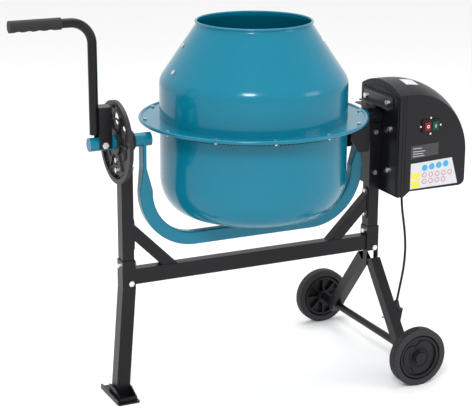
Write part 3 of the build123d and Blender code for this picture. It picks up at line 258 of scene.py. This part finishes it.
FINISHES = {
    "black_paint": (powder_coat, ((0.006, 0.006, 0.0075), 0.24)),
    "blue_paint": (gloss_enamel, ((0.0, 0.145, 0.225), 0.18)),
    "zinc": (bright_zinc, ((0.74, 0.74, 0.73), 0.22)),
    "raw_steel": (machined_steel, ((0.42, 0.42, 0.43), 0.3)),
    "cast_black": (painted_casting, ((0.010, 0.010, 0.012), 0.34)),
    "housing_plastic": (moulded_plastic, ((0.008, 0.008, 0.0095), 0.3, 900.0)),
    "rim_plastic": (moulded_plastic, ((0.009, 0.009, 0.0105), 0.32, 700.0)),
    "tyre_rubber": (soft_rubber, ((0.020, 0.020, 0.023), 0.5)),
    "black_rubber": (soft_rubber, ((0.014, 0.014, 0.015), 0.5)),
    "cord_sheath": (soft_rubber, ((0.010, 0.010, 0.011), 0.42)),
    "red_plastic": (moulded_plastic, ((0.17, 0.008, 0.012), 0.28, 1100.0)),
    "green_plastic": (moulded_plastic, ((0.003, 0.06, 0.03), 0.28, 1100.0)),
    "label_film": (printed_film, ((0.52, 0.53, 0.56), 0.3)),
    "motor_metal": (machined_steel, ((0.5, 0.5, 0.52), 0.36)),
    "dark_steel": (machined_steel, ((0.10, 0.10, 0.105), 0.3)),
}
PRINTS = {
    "print_blue": (0.03, 0.3, 0.56),
    "print_red": (0.45, 0.04, 0.06),
    "print_yellow": (0.68, 0.58, 0.03),
    "print_grey": (0.36, 0.37, 0.4),
    "print_dark": (0.012, 0.012, 0.014),
    "print_white": (0.85, 0.85, 0.85),
}
made_finishes = {}


def finish(name):
    """The material of that name, made the first time that it is asked for."""
    if name not in made_finishes:
        if name in PRINTS:
            made_finishes[name] = printed_film(name, PRINTS[name], 0.32)
        else:
            recipe, values = FINISHES[name]
            made_finishes[name] = recipe(name, *values)
    return made_finishes[name]


# ---------------------------------------------------------------- modelling helpers
def deselect():
    """Leaves edit mode with nothing selected."""
    if bpy.context.mode != "OBJECT":
        bpy.ops.object.mode_set(mode="OBJECT")
    bpy.ops.object.select_all(action="DESELECT")


def settle(name):
    """Puts the active object's place in its mesh and names it."""
    piece = bpy.context.object
    piece.name = name
    bpy.ops.object.transform_apply(location=True, rotation=True, scale=True)
    return piece


def face_outwards():
    """Recalculates the active object's normals."""
    bpy.ops.object.mode_set(mode="EDIT")
    bpy.ops.mesh.select_all(action="SELECT")
    bpy.ops.mesh.normals_make_consistent(inside=False)
    bpy.ops.object.mode_set(mode="OBJECT")


def apply_thickness(piece, thickness, offset):
    """Gives a sheet its wall: offset 0 is half on each side, 1 is all on the outside."""
    modifier = piece.modifiers.new("Thickness", "SOLIDIFY")
    modifier.thickness = thickness
    modifier.offset = offset
    bpy.context.view_layer.objects.active = piece
    bpy.ops.object.modifier_apply(modifier=modifier.name)


def apply_bevel(piece, width, segments=2):
    """Breaks a piece's sharp edges."""
    modifier = piece.modifiers.new("Edges", "BEVEL")
    modifier.width = width
    modifier.segments = segments
    modifier.limit_method = "ANGLE"
    bpy.context.view_layer.objects.active = piece
    bpy.ops.object.modifier_apply(modifier=modifier.name)


def complete(piece, body, slot, material=None):
    """Finishes a new piece: its material, named by the slot unless another finish is given, and the body that it rides
    on.
    """
    piece.data.materials.clear()
    piece.data.materials.append(finish(material or slot))
    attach(piece, body)
    return piece


def unite(pieces, name):
    """Joins pieces into the first of them and names it."""
    deselect()
    for piece in pieces:
        piece.select_set(True)
    bpy.context.view_layer.objects.active = pieces[0]
    if len(pieces) > 1:
        bpy.ops.object.join()
    pieces[0].name = name
    return pieces[0]


def select_faces(piece, test):
    """In edit mode, selects the faces that pass the test."""
    bpy.ops.object.mode_set(mode="OBJECT")
    for polygon in piece.data.polygons:
        polygon.select = test(polygon)
    bpy.ops.object.mode_set(mode="EDIT")
    bpy.ops.mesh.select_mode(type="FACE")


def front_plate(name, outline, face_y, thickness, edge):
    """A thin plate on a face that looks along -Y, from its outline in millimetres."""
    deselect()
    bpy.ops.mesh.primitive_circle_add(
        vertices=len(outline), radius=MM, fill_type="NGON", rotation=(pi / 2, 0, 0),
    )
    piece = settle(name)
    for vertex, (x, z) in zip(piece.data.vertices, outline):
        spot = place(x, 0, z)
        vertex.co = (spot.x, face_y, spot.z)
    apply_thickness(piece, thickness, 0)
    apply_bevel(piece, edge)
    face_outwards()
    return piece


def front_disc(name, x, z, radius, face_y, thickness, hole=0.0):
    """A disc or ring on a face that looks along -Y, its sizes in millimetres."""
    deselect()
    spot = place(x, 0, z)
    bpy.ops.mesh.primitive_cylinder_add(
        vertices=32, radius=radius * MM, depth=thickness,
        location=(spot.x, face_y, spot.z), rotation=(pi / 2, 0, 0),
    )
    piece = settle(name)
    if hole:
        select_faces(piece, lambda polygon: abs(polygon.normal.y) > 0.9)
        bpy.ops.mesh.inset(thickness=(radius - hole) * MM, use_individual=True)
        bpy.ops.object.mode_set(mode="OBJECT")
        select_faces(piece, lambda polygon: len(polygon.vertices) > 4)
        bpy.ops.mesh.bridge_edge_loops()
        bpy.ops.object.mode_set(mode="OBJECT")
    else:
        apply_bevel(piece, thickness * 0.3, 1)
    return piece


def full_turn(steps, first=0.0):
    """Evenly spaced angles round a circle."""
    return [2 * pi * (step + first) / steps for step in range(steps)]


def bead(name, points, radius, closed=False):
    """A round raised line through the given points, as a mesh."""
    deselect()
    curve = bpy.data.curves.new(name, "CURVE")
    curve.dimensions = "3D"
    curve.bevel_depth = radius
    curve.bevel_resolution = 3
    curve.use_fill_caps = True
    spline = curve.splines.new("POLY")
    spline.points.add(len(points) - 1)
    for point, spot in zip(spline.points, points):
        point.co = (*spot, 1)
    spline.use_cyclic_u = closed
    piece = bpy.data.objects.new(name, curve)
    bpy.context.collection.objects.link(piece)
    piece.select_set(True)
    bpy.context.view_layer.objects.active = piece
    bpy.ops.object.convert(target="MESH")
    bpy.ops.object.shade_smooth_by_angle(angle=radians(40))
    return piece


# ---------------------------------------------------------------- sizes and colours to change
class MixerSizes(bpy.types.PropertyGroup):
    """Sizes of the pieces that are added to the frame."""

    cord_diameter: bpy.props.FloatProperty(
        name="Cord Diameter", description="Outer diameter of the power cord", default=0.0065, min=0.004, unit="LENGTH",
    )
    tread_blocks: bpy.props.IntProperty(
        name="Tread Blocks", description="Raised blocks around each tyre", default=54, min=12,
    )
    tread_depth: bpy.props.FloatProperty(
        name="Tread Depth", description="Depth of the grooves between the blocks", default=0.0011, unit="LENGTH",
    )
    seam_width: bpy.props.FloatProperty(
        name="Seam Width", description="Width of the raised seams on the motor housing", default=0.0026, unit="LENGTH",
    )
    film_thickness: bpy.props.FloatProperty(
        name="Film Thickness", description="Thickness of the printed labels", default=0.0004, unit="LENGTH",
    )


class MixerStudio(bpy.types.PropertyGroup):
    """The camera, the floor and the lights."""

    camera_place: bpy.props.FloatVectorProperty(
        name="Camera Place", description="Where the camera stands", size=3, subtype="TRANSLATION",
        default=(-1.54322, -3.15686, 1.47875),
    )
    camera_yaw: bpy.props.FloatProperty(
        name="Camera Yaw", description="Turn of the camera towards +X", default=radians(25.56), unit="ROTATION",
    )
    camera_pitch: bpy.props.FloatProperty(
        name="Camera Pitch", description="Tilt of the camera below level", default=radians(16.48), unit="ROTATION",
    )
    lens: bpy.props.FloatProperty(name="Lens", description="Focal length in millimetres", default=111.84)
    floor_colour: bpy.props.FloatVectorProperty(
        name="Floor Colour", description="Colour of the studio floor", size=3, subtype="COLOR",
        default=(0.9, 0.9, 0.9),
    )


# ---------------------------------------------------------------- operators
class MIXER_OT_camera(bpy.types.Operator):
    """Sets up the camera"""

    bl_idname = "mixer.camera"
    bl_label = "Camera"

    def execute(self, context):
        studio = context.scene.mixer_studio
        data = bpy.data.cameras.new("camera")
        data.lens = studio.lens
        data.sensor_width = 36
        data.clip_end = 50
        camera = bpy.data.objects.new("camera", data)
        context.collection.objects.link(camera)
        turn = Matrix.Rotation(-studio.camera_yaw, 4, "Z") @ Matrix.Rotation(pi / 2 - studio.camera_pitch, 4, "X")
        camera.matrix_world = Matrix.Translation(studio.camera_place) @ turn @ Matrix.Rotation(radians(0.21), 4, "Z")
        context.scene.camera = camera
        return {"FINISHED"}


CORD_ROUTE = [
    (423, 427), (424.5, 398), (430.5, 364), (437.5, 322), (441, 276), (438.5, 232), (432, 194), (425, 160),
    (420.5, 136),
]
CORD_Y = -20


class MIXER_OT_power_cord(bpy.types.Operator):
    """Hangs the power cord from its gland to the plug"""

    bl_idname = "mixer.power_cord"
    bl_label = "Power Cord"

    def execute(self, context):
        sizes = context.scene.mixer_sizes
        curve = bpy.data.curves.new("flex", "CURVE")
        curve.dimensions = "3D"
        curve.bevel_depth = sizes.cord_diameter / 2
        curve.bevel_resolution = 6
        curve.use_fill_caps = True
        spline = curve.splines.new("NURBS")
        spline.points.add(len(CORD_ROUTE) - 1)
        for point, (x, z) in zip(spline.points, CORD_ROUTE):
            point.co = (*place(x, CORD_Y, z), 1)
        spline.order_u = 3
        spline.use_endpoint_u = True
        spline.resolution_u = 16
        flex = bpy.data.objects.new("flex", curve)
        context.collection.objects.link(flex)
        complete(flex, "frame", "cord_sheath")
        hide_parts("power_cord")
        tuple(place(CORD_ROUTE[0][0], CORD_Y, CORD_ROUTE[0][1]))
        return {"FINISHED"}


class MIXER_OT_frame_finishes(bpy.types.Operator):
    """Gives every piece of the frame its finish"""

    bl_idname = "mixer.frame_finishes"
    bl_label = "Frame Finishes"

    def execute(self, context):
        for part in frame["record"]["subparts"]:
            node = frame["nodes"][part["node"]]
            dark = part["node"] == "support_bracket"
            material = finish("dark_steel" if dark else part["material_slot"])
            if not node.material_slots:
                raise RuntimeError(part["node"] + " has no material slot")
            for slot in node.material_slots:
                slot.material = material
        return {"FINISHED"}


TREAD_EDGE = 0.0005  # bevel of the blocks' edges
TREAD_SIDE = 0.07  # width of the tyre's sloped side, as a share of its radius
BLOCK_GAP = 0.012  # inset of each groove, as a share of the radius
TREAD_WIDTH = 0.8  # of the tyre's width


def turn_about_axle(reach):
    """The angle of a point round an axle along Y."""
    return atan2(reach.z, reach.x)


class MIXER_OT_tyres(bpy.types.Operator):
    """Makes the two solid tyres with blocks around their treads"""

    bl_idname = "mixer.tyres"
    bl_label = "Tyres"

    def execute(self, context):
        sizes = context.scene.mixer_sizes
        for side in ("near", "far"):
            low, high = (Vector(corner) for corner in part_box(side + "_tyre"))
            rim_low, rim_high = (Vector(corner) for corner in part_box(side + "_rim"))
            centre = (low + high) / 2
            radius = (high.x - low.x) / 2
            inner = (rim_high.x - rim_low.x) / 2
            width = high.y - low.y
            deselect()
            bpy.ops.mesh.primitive_cylinder_add(
                vertices=2 * sizes.tread_blocks, radius=radius, depth=width, location=centre, rotation=(pi / 2, 0, 0),
            )
            tyre = settle(side + "_tread")
            select_faces(tyre, lambda polygon: abs(polygon.normal.y) > 0.9)
            bpy.ops.mesh.inset(thickness=radius * TREAD_SIDE, use_individual=True)
            bpy.ops.object.mode_set(mode="OBJECT")
            select_faces(tyre, lambda polygon: len(polygon.vertices) > 4)
            bpy.ops.mesh.inset(thickness=radius * (1 - TREAD_SIDE) - inner, use_individual=True)
            bpy.ops.object.mode_set(mode="OBJECT")
            select_faces(tyre, lambda polygon: len(polygon.vertices) > 4)
            bpy.ops.mesh.bridge_edge_loops()
            bpy.ops.object.mode_set(mode="OBJECT")
            for vertex in tyre.data.vertices:
                reach = Vector((vertex.co.x - centre.x, 0, vertex.co.z - centre.z))
                if abs(reach.length - radius) < 1e-4:
                    vertex.co.y = centre.y + (vertex.co.y - centre.y) * TREAD_WIDTH
            blocks = [
                polygon.index for polygon in tyre.data.polygons
                if abs(polygon.normal.y) < 0.1 and (polygon.center - centre).length > radius * 0.95
            ]
            blocks.sort(key=lambda index: turn_about_axle(tyre.data.polygons[index].center - centre))
            grooves = set(blocks[::2])
            select_faces(tyre, lambda polygon: polygon.index in grooves)
            bpy.ops.mesh.inset(thickness=radius * BLOCK_GAP, use_individual=True)
            bpy.ops.object.mode_set(mode="OBJECT")
            sunk = {index for polygon in tyre.data.polygons if polygon.select for index in polygon.vertices}
            for index in sunk:
                vertex = tyre.data.vertices[index]
                reach = Vector((vertex.co.x - centre.x, 0, vertex.co.z - centre.z))
                vertex.co -= reach.normalized() * sizes.tread_depth
            face_outwards()
            apply_bevel(tyre, TREAD_EDGE, 1)
            complete(tyre, side + "_wheel", "tyre_rubber")
            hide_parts(side + "_tyre")
        return {"FINISHED"}


# the housing's crown: a quarter turn about a level axis, and its section across that axis, in millimetres
CROWN_X, CROWN_Z, CROWN_RADIUS = 397.0, 549.0, 188.0
HOUSING_Y, HOUSING_HALF, SECTION_RADIUS = -5.0, 96.0, 196.8


def crown_height(x, y):
    """The height of the housing's crown above a spot."""
    across = CROWN_RADIUS - SECTION_RADIUS + sqrt(SECTION_RADIUS ** 2 - (y - HOUSING_Y) ** 2)
    return CROWN_Z + sqrt(across ** 2 - (x - CROWN_X) ** 2)


def housing_line(x, inset, foot):
    """Points up the housing's front, over its crown and down its back at one x."""
    half = HOUSING_HALF - inset
    over = [HOUSING_Y - half + 2 * half * step / 24 for step in range(25)]
    line = [place(x, y, crown_height(x, y) - inset) for y in over]
    return [place(x, over[0], foot), *line, place(x, over[-1], foot)]


class MIXER_OT_housing_seams(bpy.types.Operator):
    """Raises the seams round the motor housing and the rib round its inner wall"""

    bl_idname = "mixer.housing_seams"
    bl_label = "Housing Seams"

    def execute(self, context):
        radius = context.scene.mixer_sizes.seam_width / 2
        seams = [bead("seam", housing_line(x, 0.0, 464), radius) for x in (370, 379)]
        complete(unite(seams, "housing_seams"), "frame", "housing_plastic")
        ribs = [bead("rib", housing_line(359, inset, 456), radius * 1.5) for inset in (7.0, 14.0)]
        complete(unite(ribs, "housing_ribs"), "frame", "housing_plastic")
        return {"FINISHED"}


DISH_DEPTH = 8.0  # from the rim's outer face to its web, in millimetres
COVER_THICKNESS = 3.0
COVER_REACH = 45.0
COVER_BITE = 13.0  # how far the three recesses come in
COVER_RINGS = ((27.0, 0.0016), (22.5, 0.0012))  # radius in millimetres and bead radius


class MIXER_OT_wheel_dishes(bpy.types.Operator):
    """Fits the raised cover and hub ring in each wheel's outer dish"""

    bl_idname = "mixer.wheel_dishes"
    bl_label = "Wheel Dishes"

    def execute(self, context):
        for side, way in (("near", -1), ("far", 1)):
            low, high = (Vector(corner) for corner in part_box(side + "_rim"))
            x = ((low.x + high.x) / 2 - DRUM_X) / MM
            z = (low.z + high.z) / 2 / MM
            outer = (low.y if way < 0 else high.y) / MM
            outline = []
            for angle in full_turn(90):
                reach = COVER_REACH - COVER_BITE * (0.5 + 0.5 * cos(3 * angle + 0.6)) ** 3
                outline.append((x + reach * cos(angle), z + reach * sin(angle)))
            web = outer - way * DISH_DEPTH
            middle = (web + way * COVER_THICKNESS / 2) * MM
            cover = front_plate("cover", outline, middle, COVER_THICKNESS * MM, 0.8 * MM)
            raised = web + way * COVER_THICKNESS
            rings = []
            for reach, width in COVER_RINGS:
                circle = [place(x + reach * cos(a), raised, z + reach * sin(a)) for a in full_turn(64)]
                rings.append(bead("ring", circle, width, True))
            complete(unite([cover, *rings], side + "_dish"), side + "_wheel", "rim_plastic")
        return {"FINISHED"}


DISC_WEB = 0.004
DISC_RING_REACH = 0.0565
DISC_RING_RADIUS = 0.0024
DISC_PAD_REACH = 0.0835
DISC_PAD_RADIUS = 0.0032
DISC_PADS = 20


class MIXER_OT_disc_ribs(bpy.types.Operator):
    """Casts the ring of the index disc's web and the pads along it"""

    bl_idname = "mixer.disc_ribs"
    bl_label = "Disc Ribs"

    def execute(self, context):
        low, high = (Vector(corner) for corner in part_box("index_disc"))
        middle = (low + high) / 2
        web = high.x - DISC_WEB

        def on_web(reach, angle):
            return (web, middle.y + reach * cos(angle), middle.z + reach * sin(angle))

        circle = [on_web(DISC_RING_REACH, angle) for angle in full_turn(72)]
        ring = bead("ring", circle, DISC_RING_RADIUS, True)
        pads = []
        for angle in full_turn(DISC_PADS, 0.5):
            deselect()
            bpy.ops.mesh.primitive_uv_sphere_add(
                segments=12, ring_count=8, radius=DISC_PAD_RADIUS, location=on_web(DISC_PAD_REACH, angle),
            )
            pads.append(settle("pad"))
        complete(unite([ring, *pads], "disc_ribs"), "frame", "cast_black")
        return {"FINISHED"}


class MIXER_OT_labels(bpy.types.Operator):
    """Lays the blank information labels on the motor housing"""

    bl_idname = "mixer.labels"
    bl_label = "Labels"

    def execute(self, context):
        film = context.scene.mixer_sizes.film_thickness
        low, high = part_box("labels")
        face = high[1] - film / 2
        print_face = face - film / 2 - film / 6
        large = front_plate(
            "information_label", [(396, 466), (539, 468), (519, 538), (396, 533)], face, film, film * 0.3,
        )
        complete(large, "frame", "label_film")
        small = front_plate(
            "rating_label", [(395, 545), (477, 551), (477, 582), (395, 579)], face, film, film * 0.3,
        )
        complete(small, "frame", "label_film", "print_dark")
        bars = [
            front_plate(
                "bar", [(401, z), (401 + run, z), (401 + run, z + 2), (401, z + 2)],
                print_face, film / 3, film * 0.1,
            )
            for z, run in ((551, 34), (557, 30), (563, 36), (571, 26))
        ]
        complete(unite(bars, "rating_bars"), "frame", "label_film", "print_grey")
        deselect()
        bpy.ops.mesh.primitive_grid_add(x_subdivisions=10, y_subdivisions=10, size=0.036, location=place(419, -40, 730))
        sticker = settle("crown_sticker")
        for vertex in sticker.data.vertices:
            x, y = (vertex.co.x - DRUM_X) / MM, vertex.co.y / MM
            vertex.co.z = (crown_height(x, y) + 0.1) * MM
        apply_thickness(sticker, film, 1)
        complete(sticker, "frame", "label_film")
        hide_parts("labels")
        blue = [front_disc("blue", 438 + 21 * k, 519 + 1.6 * k, 8.5, print_face, film / 3) for k in range(4)]
        complete(unite(blue, "blue_discs"), "frame", "label_film", "print_blue")
        red = [
            front_disc("red", 438 + 19 * k, 500 - 17 * row, 6.6, print_face, film / 3, 5.0)
            for row in range(2) for k in range(5 - row)
        ]
        complete(unite(red, "red_rings"), "frame", "label_film", "print_red")
        yellow = [
            front_plate("yellow", [(398, z), (424, z), (424, z + 17), (398, z + 17)], print_face, film / 3, film * 0.1)
            for z in (469, 491)
        ]
        complete(unite(yellow, "yellow_blocks"), "frame", "label_film", "print_yellow")
        return {"FINISHED"}


class MIXER_OT_button_marks(bpy.types.Operator):
    """Marks the stop button with a ring and the start button with a bar"""

    bl_idname = "mixer.button_marks"
    bl_label = "Button Marks"

    def execute(self, context):
        for node, body in (("red_button", "stop_button"), ("green_button", "start_button")):
            low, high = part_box(node)
            x = ((low[0] + high[0]) / 2 - DRUM_X) / MM
            z = (low[2] + high[2]) / 2 / MM
            face = low[1] - 0.00005
            if node == "red_button":
                mark = front_disc("stop_mark", x, z, 4.0, face, 0.0003, 2.7)
            else:
                mark = front_plate(
                    "start_mark", [(x - 0.8, z - 4), (x + 0.8, z - 4), (x + 0.8, z + 4), (x - 0.8, z + 4)],
                    face, 0.0003, 0.00005,
                )
            complete(mark, body, "label_film", "print_white")
        return {"FINISHED"}


class MIXER_OT_studio(bpy.types.Operator):
    """Lays the floor and sets the lights"""

    bl_idname = "mixer.studio"
    bl_label = "Studio"

    def execute(self, context):
        studio = context.scene.mixer_studio
        deselect()
        bpy.ops.mesh.primitive_plane_add(size=40, location=(0, 0, 0))
        floor = settle("floor")
        made = Finish("studio_floor")
        tone = made.mix(made.noise(1.2, 2.0), shade(studio.floor_colour, 0.99), opaque(studio.floor_colour))
        made.set(Base_Color=tone, Roughness=0.7)
        floor.data.materials.append(made.material)
        world = bpy.data.worlds.new("studio")
        world.use_nodes = True
        world.node_tree.nodes["Background"].inputs["Color"].default_value = (1, 1, 1, 1)
        world.node_tree.nodes["Background"].inputs["Strength"].default_value = 1.0
        context.scene.world = world
        context.scene.view_settings.view_transform = "Standard"
        context.scene.view_settings.look = "None"
        for name, spot, power, size in (
            ("key", (-1.6, -2.6, 2.9), 75, 0.8),
            ("fill", (2.6, -2.4, 1.6), 18, 1.2),
            ("top", (0.2, 0.8, 3.2), 40, 2.0),
        ):
            data = bpy.data.lights.new(name, "AREA")
            data.energy = power
            data.size = size
            light = bpy.data.objects.new(name, data)
            context.collection.objects.link(light)
            light.location = spot
            light.rotation_euler = (Vector((0, 0, 0.55)) - Vector(spot)).to_track_quat("-Z", "Y").to_euler()
        return {"FINISHED"}


OPERATORS = (
    MIXER_OT_camera, MIXER_OT_power_cord, MIXER_OT_frame_finishes, MIXER_OT_tyres, MIXER_OT_wheel_dishes,
    MIXER_OT_housing_seams, MIXER_OT_disc_ribs, MIXER_OT_labels, MIXER_OT_button_marks, MIXER_OT_studio,
)


class MIXER_PT_sidebar(bpy.types.Panel):
    """The mixer's sizes and the steps that build it"""

    bl_label = "Concrete Mixer"
    bl_idname = "MIXER_PT_sidebar"
    bl_space_type = "VIEW_3D"
    bl_region_type = "UI"
    bl_category = "Mixer"

    def draw(self, context):
        for group in (context.scene.mixer_sizes, context.scene.mixer_studio):
            column = self.layout.column()
            for name in group.__annotations__:
                column.prop(group, name)
        for operator in OPERATORS:
            self.layout.operator(operator.bl_idname)


CLASSES = (MixerSizes, MixerStudio, *OPERATORS, MIXER_PT_sidebar)


def register():
    for item in CLASSES:
        bpy.utils.register_class(item)
    bpy.types.Scene.mixer_sizes = bpy.props.PointerProperty(type=MixerSizes)
    bpy.types.Scene.mixer_studio = bpy.props.PointerProperty(type=MixerStudio)


def unregister():
    del bpy.types.Scene.mixer_studio
    del bpy.types.Scene.mixer_sizes
    for item in reversed(CLASSES):
        bpy.utils.unregister_class(item)


def main():
    register()
    bpy.ops.mixer.camera()
    bpy.ops.mixer.power_cord()
    bpy.ops.mixer.frame_finishes()
    bpy.ops.mixer.tyres()
    bpy.ops.mixer.wheel_dishes()
    bpy.ops.mixer.housing_seams()
    bpy.ops.mixer.disc_ribs()
    bpy.ops.mixer.labels()
    bpy.ops.mixer.button_marks()
    bpy.ops.mixer.studio()


if __name__ == "__main__":
    main()
